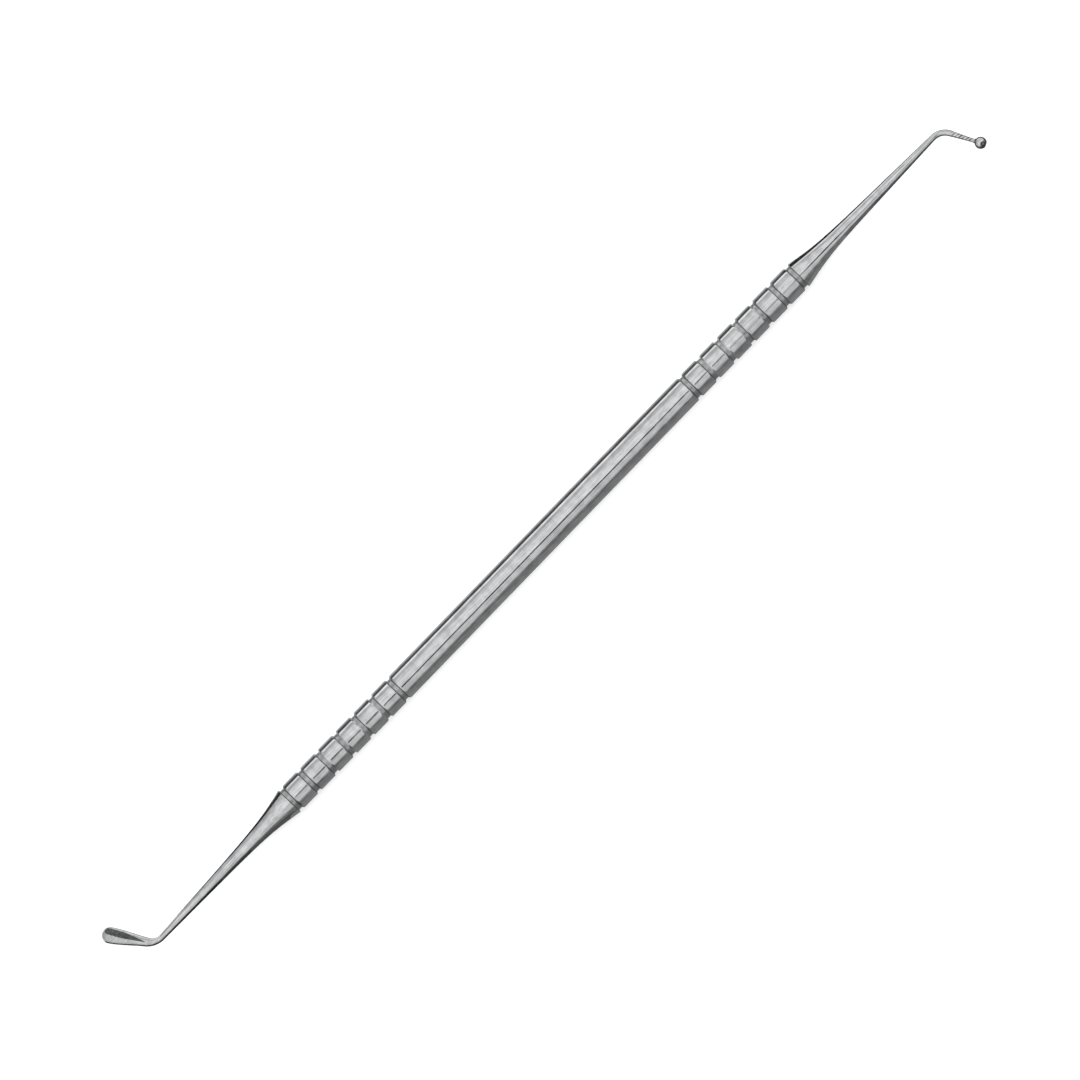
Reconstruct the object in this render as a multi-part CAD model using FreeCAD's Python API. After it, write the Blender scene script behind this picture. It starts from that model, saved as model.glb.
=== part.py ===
import FreeCAD, Part
import math
import os

# Dental plugger, double ended, made from one bar of stainless steel.
# Units are millimetres. +X runs along the handle towards the ball end, +Z is up,
# and the origin is the middle of the handle's lowest flat, on which it lies.

# Handle: an eight-sided bar whose long edges are turned down to a round
SIDES = 8
ACROSS_FLATS = 4.3
EDGE_REACH = 2.28

# Grip: turned ring grooves in two groups, one near each end of the handle
GROOVE_COUNT = 7
GROOVE_PITCH = 3.64
INNER_GROOVE_X = 30.06
GROOVE_FLOOR_RADIUS = 1.9
GROOVE_FLOOR_WIDTH = 0.62
GROOVE_WALL_SLANT = 20.0

# Shanks: the bar flares down beyond the last groove, and its flats run out
FLARE_LENGTH = 3.8
FLARE_POWER = 1.3
FLARE_END = 14.0
SHANK_TAPER = 0.028
FLAT_SHARE_AT_HANDLE = 0.935
FLAT_SHARE_AT_RUNOUT = 1.02
FLAT_RUNOUT = 19.0

# Ball end. Shank and arm lengths are measured to the corner of the bend.
BALL_SHANK_LENGTH = 29.4
BALL_SHANK_LEAN = 0.3
BALL_NECK_RADIUS = 0.45
BALL_BEND_RADIUS = 2.4
BALL_BEND_ANGLE = 65.0
BALL_ARM_LENGTH = 6.26
BALL_ARM_END_RADIUS = 0.29
ARM_HOLLOWING = 0.015
BALL_RADIUS = 0.88
BALL_COLLAR_RADIUS = 0.38
BALL_COLLAR_LENGTH = 0.3
BALL_FACE_RADIUS = 0.5

# Paddle end
PADDLE_SHANK_LENGTH = 28.3
PADDLE_SHANK_LEAN = -1.0
PADDLE_NECK_RADIUS = 0.47
PADDLE_BEND_RADIUS = 2.5
PADDLE_BEND_ANGLE = 57.8
PADDLE_ROOT_HALF_WIDTH = 0.69
PADDLE_ROOT_HALF_THICKNESS = 0.58
PADDLE_SIDES = ((2.4, 0.77), (3.6, 0.93), (5.05, 1.09), (6.1, 1.19))
PADDLE_HALF_WIDTH = 1.22
PADDLE_HALF_THICKNESS = 0.72
PADDLE_WIDEST_AT = 7.05
PADDLE_TIP_LENGTH = 1.2

# Hollow ground into the upper side of the paddle, pointed at the bend
HOLLOW_START = 1.2
HOLLOW_KNEE = 5.0
HOLLOW_END = 7.4
HOLLOW_RADIUS = 0.7
HOLLOW_DEPTH = 0.28
HOLLOW_START_OFFSET = -0.18
HOLLOW_KNEE_OFFSET = 0.35
HOLLOW_END_OFFSET = 0.6

# Sections along the curved parts
FLARE_SECTIONS = 16
FLAT_SECTIONS = 16
PROFILE_TOLERANCE = 0.008
BEND_SECTIONS = 3

AXIS_HEIGHT = ACROSS_FLATS / 2
HALF_SIDE_ANGLE = math.pi / SIDES
OUTER_GROOVE_X = INNER_GROOVE_X + (GROOVE_COUNT - 1) * GROOVE_PITCH
OVERLAP = GROOVE_FLOOR_WIDTH / 4
ORIGIN = FreeCAD.Vector(0, 0, 0)
X_AXIS = FreeCAD.Vector(1, 0, 0)
Y_AXIS = FreeCAD.Vector(0, 1, 0)
Z_AXIS = FreeCAD.Vector(0, 0, 1)


def barrel():
    """The plain bar between the two outermost grooves, with one flat straight up."""
    corner_reach = ACROSS_FLATS / 2 / math.cos(HALF_SIDE_ANGLE)
    corners = []
    for corner in range(SIDES + 1):
        angle = HALF_SIDE_ANGLE * (2 * corner + 1)
        y = corner_reach * math.sin(angle)
        z = corner_reach * math.cos(angle)
        corners.append(FreeCAD.Vector(-OUTER_GROOVE_X, y, z))
    bar = Part.Face(Part.makePolygon(corners)).extrude(X_AXIS * (2 * OUTER_GROOVE_X))
    start = FreeCAD.Vector(-OUTER_GROOVE_X, 0, 0)
    turned = Part.makeCylinder(EDGE_REACH, 2 * OUTER_GROOVE_X, start, X_AXIS)
    return bar.common(turned)


def groove_cutter(x):
    """A ring whose section is the groove: a flat floor between two slanted walls."""
    reach = ACROSS_FLATS
    floor_half = GROOVE_FLOOR_WIDTH / 2
    slant = math.tan(math.radians(GROOVE_WALL_SLANT))
    mouth_half = floor_half + (reach - GROOVE_FLOOR_RADIUS) * slant
    section = Part.makePolygon([
        FreeCAD.Vector(x - floor_half, 0, GROOVE_FLOOR_RADIUS),
        FreeCAD.Vector(x + floor_half, 0, GROOVE_FLOOR_RADIUS),
        FreeCAD.Vector(x + mouth_half, 0, reach),
        FreeCAD.Vector(x - mouth_half, 0, reach),
        FreeCAD.Vector(x - floor_half, 0, GROOVE_FLOOR_RADIUS),
    ])
    return Part.Face(section).revolve(ORIGIN, X_AXIS, 360)


def groove_cutters():
    """Every groove of both groups, mirrored about the middle of the handle."""
    cutters = []
    for number in range(GROOVE_COUNT):
        x = INNER_GROOVE_X + number * GROOVE_PITCH
        cutters.append(groove_cutter(x))
        cutters.append(groove_cutter(-x))
    return cutters


def tangent_length(bend_radius, bend_angle):
    """How far a bend reaches back from its corner."""
    return bend_radius * math.tan(math.radians(bend_angle) / 2)


def shank_radius(x, straight, neck_radius):
    """Radius of a shank at a distance x beyond the outermost groove."""
    line = neck_radius + SHANK_TAPER * (straight - x)
    at_handle = ACROSS_FLATS / 2 / FLAT_SHARE_AT_HANDLE
    flare = at_handle - neck_radius - SHANK_TAPER * straight
    return line + flare * math.exp(-(max(x, 0) / FLARE_LENGTH) ** FLARE_POWER)


def round_shank(straight, neck_radius):
    """The shank's turned profile: a concave flare that runs out into a long thin cone."""
    places = [FLARE_END * (number / FLARE_SECTIONS) ** 2 for number in range(FLARE_SECTIONS + 1)]
    points = [FreeCAD.Vector(x, 0, shank_radius(x, straight, neck_radius)) for x in places]
    profile = Part.BSplineCurve()
    profile.approximate(Points=points, DegMin=3, DegMax=5, Tolerance=PROFILE_TOLERANCE)
    rest = [
        points[-1],
        FreeCAD.Vector(straight, 0, shank_radius(straight, straight, neck_radius)),
        FreeCAD.Vector(straight, 0, 0),
        FreeCAD.Vector(-OVERLAP, 0, 0),
        FreeCAD.Vector(-OVERLAP, 0, points[0].z),
        points[0],
    ]
    outline = Part.Wire([profile.toShape()] + Part.makePolygon(rest).Edges)
    return Part.Face(outline).revolve(ORIGIN, X_AXIS, 360)


def flat_cutter(straight, neck_radius):
    """Everything above one flat, which closes in more slowly than the round profile."""
    reach = ACROSS_FLATS
    points = []
    for number in range(FLAT_SECTIONS + 1):
        along = number / FLAT_SECTIONS
        x = FLAT_RUNOUT * along ** 2
        share = FLAT_SHARE_AT_HANDLE + (FLAT_SHARE_AT_RUNOUT - FLAT_SHARE_AT_HANDLE) * along
        points.append(FreeCAD.Vector(x, -reach, share * shank_radius(x, straight, neck_radius)))
    curve = Part.BSplineCurve()
    curve.approximate(Points=points, DegMin=3, DegMax=5, Tolerance=PROFILE_TOLERANCE)
    rest = [
        points[-1],
        FreeCAD.Vector(FLAT_RUNOUT, -reach, reach),
        FreeCAD.Vector(-reach, -reach, reach),
        FreeCAD.Vector(-reach, -reach, points[0].z),
        points[0],
    ]
    outline = Part.Wire([curve.toShape()] + Part.makePolygon(rest).Edges)
    return Part.Face(outline).extrude(Y_AXIS * (2 * reach))


def shank(straight, neck_radius):
    """The turned shank with its eight flats cut in."""
    cutter = flat_cutter(straight, neck_radius)
    cutters = []
    for side in range(SIDES):
        turned = cutter.copy()
        turned.rotate(ORIGIN, X_AXIS, side * 360 / SIDES)
        cutters.append(turned)
    return round_shank(straight, neck_radius).cut(cutters)


def bend(straight, radius, bend_radius, bend_angle):
    """The round rod turned through the bend, towards -Y."""
    start = FreeCAD.Vector(straight, 0, 0)
    disc = Part.Face(Part.Wire([Part.Circle(start, X_AXIS, radius).toShape()]))
    return disc.revolve(start - Y_AXIS * bend_radius, Z_AXIS * -1, bend_angle)


def arm_place(distance, shank_length, bend_angle):
    """Where an arm's centre line is at a distance from the corner of the bend."""
    turn = FreeCAD.Rotation(Z_AXIS, -bend_angle)
    centre = FreeCAD.Vector(shank_length, 0, 0) + turn.multVec(X_AXIS * distance)
    return FreeCAD.Placement(centre, turn)


def ball_arm(start, start_radius):
    """Slim arm, collar and ball with a flat ground on its end, turned as one profile."""
    collar_end = BALL_ARM_LENGTH - math.sqrt(BALL_RADIUS ** 2 - BALL_COLLAR_RADIUS ** 2)
    collar_start = collar_end - BALL_COLLAR_LENGTH
    face_at = BALL_ARM_LENGTH + math.sqrt(BALL_RADIUS ** 2 - BALL_FACE_RADIUS ** 2)
    middle = (start + collar_start) / 2
    middle_radius = (start_radius + BALL_ARM_END_RADIUS) / 2 - ARM_HOLLOWING
    waist = Part.BSplineCurve()
    waist.interpolate([
        FreeCAD.Vector(start, 0, start_radius),
        FreeCAD.Vector(middle, 0, middle_radius),
        FreeCAD.Vector(collar_start, 0, BALL_ARM_END_RADIUS),
    ])
    collar_corner = FreeCAD.Vector(collar_end, 0, BALL_COLLAR_RADIUS)
    top = FreeCAD.Vector(BALL_ARM_LENGTH, 0, BALL_RADIUS)
    face_corner = FreeCAD.Vector(face_at, 0, BALL_FACE_RADIUS)
    collar = Part.LineSegment(waist.EndPoint, collar_corner)
    ball = Part.Arc(collar_corner, top, face_corner)
    closing = Part.makePolygon([
        face_corner,
        FreeCAD.Vector(face_at, 0, 0),
        FreeCAD.Vector(start, 0, 0),
        waist.StartPoint,
    ])
    outline = Part.Wire([waist.toShape(), collar.toShape(), ball.toShape()] + closing.Edges)
    return Part.Face(outline).revolve(ORIGIN, X_AXIS, 360)


def ball_end():
    """Shank, bend and ball, built along +X from the outermost groove."""
    reach = tangent_length(BALL_BEND_RADIUS, BALL_BEND_ANGLE)
    straight = BALL_SHANK_LENGTH - reach
    radius = shank_radius(straight, straight, BALL_NECK_RADIUS)
    arm = ball_arm(reach, radius)
    arm.Placement = arm_place(0, BALL_SHANK_LENGTH, BALL_BEND_ANGLE)
    turned = bend(straight, radius, BALL_BEND_RADIUS, BALL_BEND_ANGLE)
    return shank(straight, BALL_NECK_RADIUS).fuse([turned, arm])


def oval(half_width, half_thickness, place):
    """A closed oval across the rod, wide in the plane of the bend."""
    squeeze = FreeCAD.Matrix()
    squeeze.A33 = half_thickness / half_width
    edge = Part.Circle(ORIGIN, X_AXIS, half_width).toShape().transformGeometry(squeeze)
    wire = Part.Wire([edge])
    wire.Placement = place
    return wire


def half_thickness_at(distance, start):
    """Half thickness of the paddle, even from the bend to its widest place."""
    share = (distance - start) / (PADDLE_WIDEST_AT - start)
    return PADDLE_ROOT_HALF_THICKNESS + (PADDLE_HALF_THICKNESS - PADDLE_ROOT_HALF_THICKNESS) * share


def paddle(straight, radius, reach):
    """One smooth skin from the round rod through the bend, closed by a rounded tip."""
    sections = []
    for number in range(BEND_SECTIONS + 1):
        share = number / BEND_SECTIONS
        turn = math.radians(PADDLE_BEND_ANGLE * share)
        x = straight + PADDLE_BEND_RADIUS * math.sin(turn)
        y = -PADDLE_BEND_RADIUS * (1 - math.cos(turn))
        rotation = FreeCAD.Rotation(Z_AXIS, -PADDLE_BEND_ANGLE * share)
        growth = share ** 2
        half_width = radius + (PADDLE_ROOT_HALF_WIDTH - radius) * growth
        half_thickness = radius + (PADDLE_ROOT_HALF_THICKNESS - radius) * growth
        place = FreeCAD.Placement(FreeCAD.Vector(x, y, 0), rotation)
        sections.append(oval(half_width, half_thickness, place))
    for distance, half_width in PADDLE_SIDES + ((PADDLE_WIDEST_AT, PADDLE_HALF_WIDTH),):
        place = arm_place(distance, PADDLE_SHANK_LENGTH, PADDLE_BEND_ANGLE)
        sections.append(oval(half_width, half_thickness_at(distance, reach), place))
    tip = Part.makeSphere(1, ORIGIN, X_AXIS, 0, 90, 360)
    stretch = FreeCAD.Matrix()
    stretch.scale(PADDLE_TIP_LENGTH, PADDLE_HALF_WIDTH, PADDLE_HALF_THICKNESS)
    tip = tip.transformGeometry(stretch)
    tip.Placement = arm_place(PADDLE_WIDEST_AT, PADDLE_SHANK_LENGTH, PADDLE_BEND_ANGLE)
    return Part.makeLoft(sections, True).fuse(tip)


def hollow_cutter(reach):
    """A teardrop on the inner side of the bend: a cone, a round bar and a round end."""
    lift = HOLLOW_RADIUS - HOLLOW_DEPTH
    heights = []
    for distance, offset in ((HOLLOW_KNEE, HOLLOW_KNEE_OFFSET), (HOLLOW_END, HOLLOW_END_OFFSET)):
        thickness = half_thickness_at(min(distance, PADDLE_WIDEST_AT), reach)
        heights.append(thickness * math.sqrt(1 - (offset / PADDLE_HALF_WIDTH) ** 2) + lift)
    start = FreeCAD.Vector(HOLLOW_START, -HOLLOW_START_OFFSET, half_thickness_at(HOLLOW_START, reach))
    knee = FreeCAD.Vector(HOLLOW_KNEE, -HOLLOW_KNEE_OFFSET, heights[0])
    end = FreeCAD.Vector(HOLLOW_END, -HOLLOW_END_OFFSET, heights[1])
    first = knee - start
    second = end - knee
    cone = Part.makeCone(0, HOLLOW_RADIUS, first.Length, start, first)
    joint = Part.makeSphere(HOLLOW_RADIUS, knee)
    round_bar = Part.makeCylinder(HOLLOW_RADIUS, second.Length, knee, second)
    round_end = Part.makeSphere(HOLLOW_RADIUS, end)
    cutter = cone.fuse([joint, round_bar, round_end])
    cutter.Placement = arm_place(0, PADDLE_SHANK_LENGTH, PADDLE_BEND_ANGLE)
    return cutter


def paddle_end():
    """Shank, bend and paddle, built along +X from the outermost groove."""
    reach = tangent_length(PADDLE_BEND_RADIUS, PADDLE_BEND_ANGLE)
    straight = PADDLE_SHANK_LENGTH - reach
    radius = shank_radius(straight, straight, PADDLE_NECK_RADIUS)
    blade = paddle(straight, radius, reach).cut(hollow_cutter(reach))
    return shank(straight, PADDLE_NECK_RADIUS).fuse(blade)


def place_end(end, lean, heading):
    """Lean an end towards its bend, move it out to its groove and turn it to its side."""
    end.rotate(ORIGIN, Z_AXIS, -lean)
    end.translate(X_AXIS * OUTER_GROOVE_X)
    end.rotate(ORIGIN, Z_AXIS, heading)
    return end


def plugger():
    """The whole tool, lying on its lowest flat."""
    ball = place_end(ball_end(), BALL_SHANK_LEAN, 0)
    paddle_side = place_end(paddle_end(), PADDLE_SHANK_LEAN, 180)
    body = barrel().fuse([ball, paddle_side]).cut(groove_cutters()).removeSplitter()
    body.translate(Z_AXIS * AXIS_HEIGHT)
    return body


def main():
    os.makedirs("parts", exist_ok=True)
    body = plugger()
    if len(body.Solids) != 1 or not body.isValid():
        raise ValueError("the plugger is not one valid solid")
    solid = body.Solids[0]
    solid.exportStep("parts/plugger.step")
    box = solid.BoundBox
    print("faces", len(solid.Faces), "volume", round(solid.Volume, 1))
    print("x", round(box.XMin, 2), round(box.XMax, 2))
    print("y", round(box.YMin, 2), round(box.YMax, 2))
    print("z", round(box.ZMin, 2), round(box.ZMax, 2))


main()
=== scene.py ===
# %% [markdown]
# # A double-ended dental plugger
#
# A dentist presses filling material into a tooth with this tool. It is one bar of
# stainless steel: an eight-sided handle with turned grooves for grip, and at each
# end a thin bent shank, one with a small ball and one with a flat paddle.
# The real thing has no joints, so it becomes one closed mesh. This lesson makes the
# handle with Geometry Nodes, adds both ends as stacks of rings, and then lights the
# polished steel with a tent of light, as a product photographer would.

# %% Load the frame
import math

import bpy
import numpy as np
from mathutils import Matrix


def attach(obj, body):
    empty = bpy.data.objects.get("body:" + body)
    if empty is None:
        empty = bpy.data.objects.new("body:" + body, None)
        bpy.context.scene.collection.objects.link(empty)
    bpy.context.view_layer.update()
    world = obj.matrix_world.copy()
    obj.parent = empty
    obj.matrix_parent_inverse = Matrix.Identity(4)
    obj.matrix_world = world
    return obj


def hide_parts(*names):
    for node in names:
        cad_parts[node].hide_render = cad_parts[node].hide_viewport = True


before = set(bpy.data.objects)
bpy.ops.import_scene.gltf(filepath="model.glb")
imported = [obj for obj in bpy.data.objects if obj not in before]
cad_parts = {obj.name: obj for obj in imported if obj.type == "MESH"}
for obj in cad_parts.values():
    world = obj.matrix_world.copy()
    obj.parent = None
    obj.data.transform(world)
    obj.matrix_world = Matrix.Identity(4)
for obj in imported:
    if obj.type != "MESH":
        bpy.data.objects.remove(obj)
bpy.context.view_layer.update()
MM = 0.001

# %% [markdown]
# ## Three small helpers
#
# A node tree is easier to read when each node is one line. The first helper adds a
# node of any kind, sets its options, and then fills each input: with a link if the
# value is another node or one of its sockets, and with the plain number or colour if
# it isn't. A node on its own stands for its first output. The second helper makes a
# material with an empty tree, and the third turns an sRGB hex colour into the linear
# numbers that Blender works in.

# %% Helpers
STEEL_GREY = "#BBBCBD"


def add_node(tree, kind, inputs=None, **settings):
    node = tree.nodes.new(kind)
    for name, value in settings.items():
        setattr(node, name, value)
    for key, value in (inputs or {}).items():
        if isinstance(value, bpy.types.Node):
            value = value.outputs[0]
        if isinstance(value, bpy.types.NodeSocket):
            tree.links.new(value, node.inputs[key])
        else:
            node.inputs[key].default_value = value
    return node


def empty_material(name):
    material = bpy.data.materials.new(name)
    material.use_nodes = True
    material.node_tree.nodes.clear()
    return material


def from_hex(text):
    parts = [int(text[i:i + 2], 16) / 255 for i in (1, 3, 5)]
    linear = [c / 12.92 if c <= 0.04045 else ((c + 0.055) / 1.055) ** 2.4 for c in parts]
    return (*linear, 1.0)


print("steel grey is", [round(c, 3) for c in from_hex(STEEL_GREY)])

# %% [markdown]
# ## The sizes
#
# All sizes are in millimetres, as a maker would write them on a drawing, and each one
# is given where it is first needed. The handle comes first. Its long edges are turned
# a little round, and a higher sharpness would make them crisper. Polishing has also
# crowned each flat very slightly, by 0.05 mm, and the reflections in the photograph
# show it.

# %% Sizes of the handle
ACROSS_FLATS = 4.3
AXIS_HEIGHT = ACROSS_FLATS / 2
EDGE_SHARPNESS = 24.0
CROWN = 0.122

GROOVES = 7
GROOVE_PITCH = 3.64
FIRST_GROOVE = 30.06
GROOVE_FLOOR = 1.9
GROOVE_WIDTH = 0.62
WALL_SLANT = math.radians(20)
LAST_GROOVE = FIRST_GROOVE + (GROOVES - 1) * GROOVE_PITCH

print("last groove is", round(LAST_GROOVE, 2), "mm from the middle of the handle")

# %% [markdown]
# ## The handle's skin, with Geometry Nodes
#
# The handle follows a rule, so it suits Geometry Nodes. A flat grid is wrapped round
# the X axis: its X stays the place along the bar and its Y becomes the angle. The
# distance from the axis is the smaller of two numbers, one for the eight-sided bar
# and one for the nearest groove. The tree starts with a named input for each size.

# %% The tree and its inputs
SIDES_AROUND = 128
LINES_PER_GROOVE = 26
BAR_INPUTS = {
    "Half across flats": ("NodeSocketFloat", AXIS_HEIGHT * MM),
    "Edge sharpness": ("NodeSocketFloat", EDGE_SHARPNESS),
    "Crown": ("NodeSocketFloat", CROWN),
    "Grooves": ("NodeSocketInt", GROOVES),
    "Groove pitch": ("NodeSocketFloat", GROOVE_PITCH * MM),
    "First groove": ("NodeSocketFloat", FIRST_GROOVE * MM),
    "Floor radius": ("NodeSocketFloat", GROOVE_FLOOR * MM),
    "Floor width": ("NodeSocketFloat", GROOVE_WIDTH * MM),
    "Wall slope": ("NodeSocketFloat", 1 / math.tan(WALL_SLANT)),
    "Lines per groove": ("NodeSocketInt", LINES_PER_GROOVE),
    "Sides around": ("NodeSocketInt", SIDES_AROUND),
    "Material": ("NodeSocketMaterial", None),
}

bar = bpy.data.node_groups.new("Grooved eight-sided bar", "GeometryNodeTree")
bar.interface.new_socket("Geometry", in_out="OUTPUT", socket_type="NodeSocketGeometry")
for name, (kind, value) in BAR_INPUTS.items():
    socket = bar.interface.new_socket(name, in_out="INPUT", socket_type=kind)
    if value is not None:
        socket.default_value = value
given = add_node(bar, "NodeGroupInput").outputs
print("inputs of the tree:", ", ".join(BAR_INPUTS))

# %% [markdown]
# Two fine grids become the grips, and a coarse one becomes the plain bar between
# them. A grip reaches from half a pitch before its first groove to the middle of its
# last one, where the end of the tool takes over.

# %% Three grids
PLAIN_LINES = 9

gaps = add_node(bar, "ShaderNodeMath", {0: given["Grooves"], 1: 0.5}, operation="SUBTRACT")
grip = add_node(bar, "ShaderNodeMath", {0: gaps, 1: given["Groove pitch"]}, operation="MULTIPLY")
lines = add_node(bar, "ShaderNodeMath", {
    0: gaps, 1: given["Lines per groove"]}, operation="MULTIPLY")
around = add_node(bar, "ShaderNodeMath", {0: given["Sides around"], 1: 1.0}, operation="ADD")
half_pitch = add_node(bar, "ShaderNodeMath", {
    0: given["Groove pitch"], 1: 0.5}, operation="MULTIPLY")
start = add_node(bar, "ShaderNodeMath", {
    0: given["First groove"], 1: half_pitch}, operation="SUBTRACT")
half_grip = add_node(bar, "ShaderNodeMath", {0: grip, 1: 0.5}, operation="MULTIPLY")
middle = add_node(bar, "ShaderNodeMath", {0: start, 1: half_grip}, operation="ADD")
far_middle = add_node(bar, "ShaderNodeMath", {0: middle, 1: -1.0}, operation="MULTIPLY")
plain = add_node(bar, "ShaderNodeMath", {0: start, 1: 2.0}, operation="MULTIPLY")

grip_grid = add_node(bar, "GeometryNodeMeshGrid", {
    "Size X": grip, "Size Y": math.tau, "Vertices X": lines, "Vertices Y": around})
plain_grid = add_node(bar, "GeometryNodeMeshGrid", {
    "Size X": plain, "Size Y": math.tau, "Vertices X": PLAIN_LINES, "Vertices Y": around})
skin = add_node(bar, "GeometryNodeJoinGeometry")
for centre in (middle, far_middle):
    offset = add_node(bar, "ShaderNodeCombineXYZ", {"X": centre})
    moved_grid = add_node(bar, "GeometryNodeTransform", {
        "Geometry": grip_grid, "Translation": offset})
    bar.links.new(moved_grid.outputs[0], skin.inputs[0])
bar.links.new(plain_grid.outputs[0], skin.inputs[0])
print("nodes so far:", len(bar.nodes))

# %% [markdown]
# All the detail is at the grooves, so the grid's lines are drawn together there. A
# sine wave with one turn to each groove moves every line towards the nearest groove.
# The gathering is 0 for even lines, and at 1 they would lie on top of each other.

# %% Lines drawn together at the grooves
GATHERING = 0.82

place = add_node(bar, "GeometryNodeInputPosition")
axes = add_node(bar, "ShaderNodeSeparateXYZ", {0: place})
far = add_node(bar, "ShaderNodeMath", {0: axes.outputs["X"]}, operation="ABSOLUTE")
side = add_node(bar, "ShaderNodeMath", {0: axes.outputs["X"]}, operation="SIGN")
beyond = add_node(bar, "ShaderNodeMath", {0: far, 1: given["First groove"]}, operation="SUBTRACT")
turns = add_node(bar, "ShaderNodeMath", {0: beyond, 1: given["Groove pitch"]}, operation="DIVIDE")
phase = add_node(bar, "ShaderNodeMath", {0: turns, 1: math.tau}, operation="MULTIPLY")
wave = add_node(bar, "ShaderNodeMath", {0: phase}, operation="SINE")
pull = add_node(bar, "ShaderNodeMath", {
    0: given["Groove pitch"], 1: -GATHERING / math.tau}, operation="MULTIPLY")
gathered = add_node(bar, "ShaderNodeMath", {0: wave, 1: pull, 2: far}, operation="MULTIPLY_ADD")
along = add_node(bar, "ShaderNodeMath", {0: gathered, 1: side}, operation="MULTIPLY")
print("nodes so far:", len(bar.nodes))

# %% [markdown]
# Folding the angle into half a side leaves the two nearest flats. Adding high powers
# of them and taking the root again blends the two, which leaves the long edges a
# little round. A flat's own distance falls a little from its middle to its edges,
# because it is crowned.

# %% The eight-sided bar
ONE_SIDE = math.pi / 4

fold = add_node(bar, "ShaderNodeMath", {
    0: axes.outputs["Y"], 1: ONE_SIDE / 2}, operation="PINGPONG")
other = add_node(bar, "ShaderNodeMath", {0: ONE_SIDE, 1: fold}, operation="SUBTRACT")
sink = add_node(bar, "ShaderNodeMath", {0: given["Crown"], 1: -1.0}, operation="MULTIPLY")
powers = []
for angle in (fold, other):
    near = add_node(bar, "ShaderNodeMath", {0: angle}, operation="COSINE")
    slope = add_node(bar, "ShaderNodeMath", {0: angle}, operation="TANGENT")
    square = add_node(bar, "ShaderNodeMath", {0: slope, 1: slope}, operation="MULTIPLY")
    crowned = add_node(bar, "ShaderNodeMath", {
        0: square, 1: sink, 2: 1.0}, operation="MULTIPLY_ADD")
    share = add_node(bar, "ShaderNodeMath", {0: near, 1: crowned}, operation="DIVIDE")
    powers.append(add_node(bar, "ShaderNodeMath", {
        0: share, 1: given["Edge sharpness"]}, operation="POWER"))
both = add_node(bar, "ShaderNodeMath", {0: powers[0], 1: powers[1]}, operation="ADD")
root = add_node(bar, "ShaderNodeMath", {0: -1.0, 1: given["Edge sharpness"]}, operation="DIVIDE")
blend = add_node(bar, "ShaderNodeMath", {0: both, 1: root}, operation="POWER")
flat_reach = add_node(bar, "ShaderNodeMath", {
    0: blend, 1: given["Half across flats"]}, operation="MULTIPLY")
print("nodes so far:", len(bar.nodes))

# %% [markdown]
# The nearest groove is a floor, and walls that rise with the distance from it. The
# bar's surface is the lower one of the flats and the groove. Last, the grid is
# wrapped round the axis, its seam is closed and it gets the steel.

# %% Grooves, and the grid wrapped round
SEAM_GAP = 0.001 * MM

from_groove = add_node(bar, "ShaderNodeMath", {
    0: gathered, 1: given["First groove"]}, operation="SUBTRACT")
nearest = add_node(bar, "ShaderNodeMath", {0: from_groove, 1: half_pitch}, operation="PINGPONG")
half_floor = add_node(bar, "ShaderNodeMath", {
    0: given["Floor width"], 1: 0.5}, operation="MULTIPLY")
up_wall = add_node(bar, "ShaderNodeMath", {0: nearest, 1: half_floor}, operation="SUBTRACT")
on_wall = add_node(bar, "ShaderNodeMath", {0: up_wall, 1: 0.0}, operation="MAXIMUM")
groove_reach = add_node(bar, "ShaderNodeMath", {
    0: on_wall, 1: given["Wall slope"], 2: given["Floor radius"]}, operation="MULTIPLY_ADD")
reach = add_node(bar, "ShaderNodeMath", {0: flat_reach, 1: groove_reach}, operation="MINIMUM")

sine = add_node(bar, "ShaderNodeMath", {0: axes.outputs["Y"]}, operation="SINE")
cosine = add_node(bar, "ShaderNodeMath", {0: axes.outputs["Y"]}, operation="COSINE")
across = add_node(bar, "ShaderNodeMath", {0: reach, 1: sine}, operation="MULTIPLY")
height = add_node(bar, "ShaderNodeMath", {
    0: reach, 1: cosine, 2: given["Half across flats"]}, operation="MULTIPLY_ADD")
wrapped = add_node(bar, "ShaderNodeCombineXYZ", {"X": along, "Y": across, "Z": height})
moved = add_node(bar, "GeometryNodeSetPosition", {"Geometry": skin, "Position": wrapped})
closed = add_node(bar, "GeometryNodeMergeByDistance", {"Geometry": moved, "Distance": SEAM_GAP})
smooth = add_node(bar, "GeometryNodeSetShadeSmooth", {"Geometry": closed})
real = add_node(bar, "GeometryNodeRealizeInstances", {"Geometry": smooth})
in_steel = add_node(bar, "GeometryNodeSetMaterial", {
    "Geometry": real, "Material": given["Material"]})
add_node(bar, "NodeGroupOutput", {"Geometry": in_steel})
print("nodes in the handle's tree:", len(bar.nodes))

# %% [markdown]
# ## The steel
#
# The tool is stainless steel, a metal, so its colour is its reflection. The handle
# and the ball were polished and give sharp, bright bands. The shanks were ground, and
# are only a little duller. The grooves are as the lathe left them and rougher, and
# shade is painted into their colour. The hollow in the paddle was cut last, with a
# small stone, and is the dullest place, with the darkest painted shade. Two numbers
# stored on the mesh say where each finish and painted shade is: "ground" and
# "hollow", each from 0 to 1.
# The material starts with the two patterns that run over all of it.

# %% Grit and clouds in the steel
steel = empty_material("Stainless steel, polished and ground")
metal = steel.node_tree
ground = add_node(metal, "ShaderNodeAttribute", attribute_name="ground").outputs["Fac"]
hollow = add_node(metal, "ShaderNodeAttribute", attribute_name="hollow").outputs["Fac"]
places = add_node(metal, "ShaderNodeTexCoord").outputs["Object"]

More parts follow.
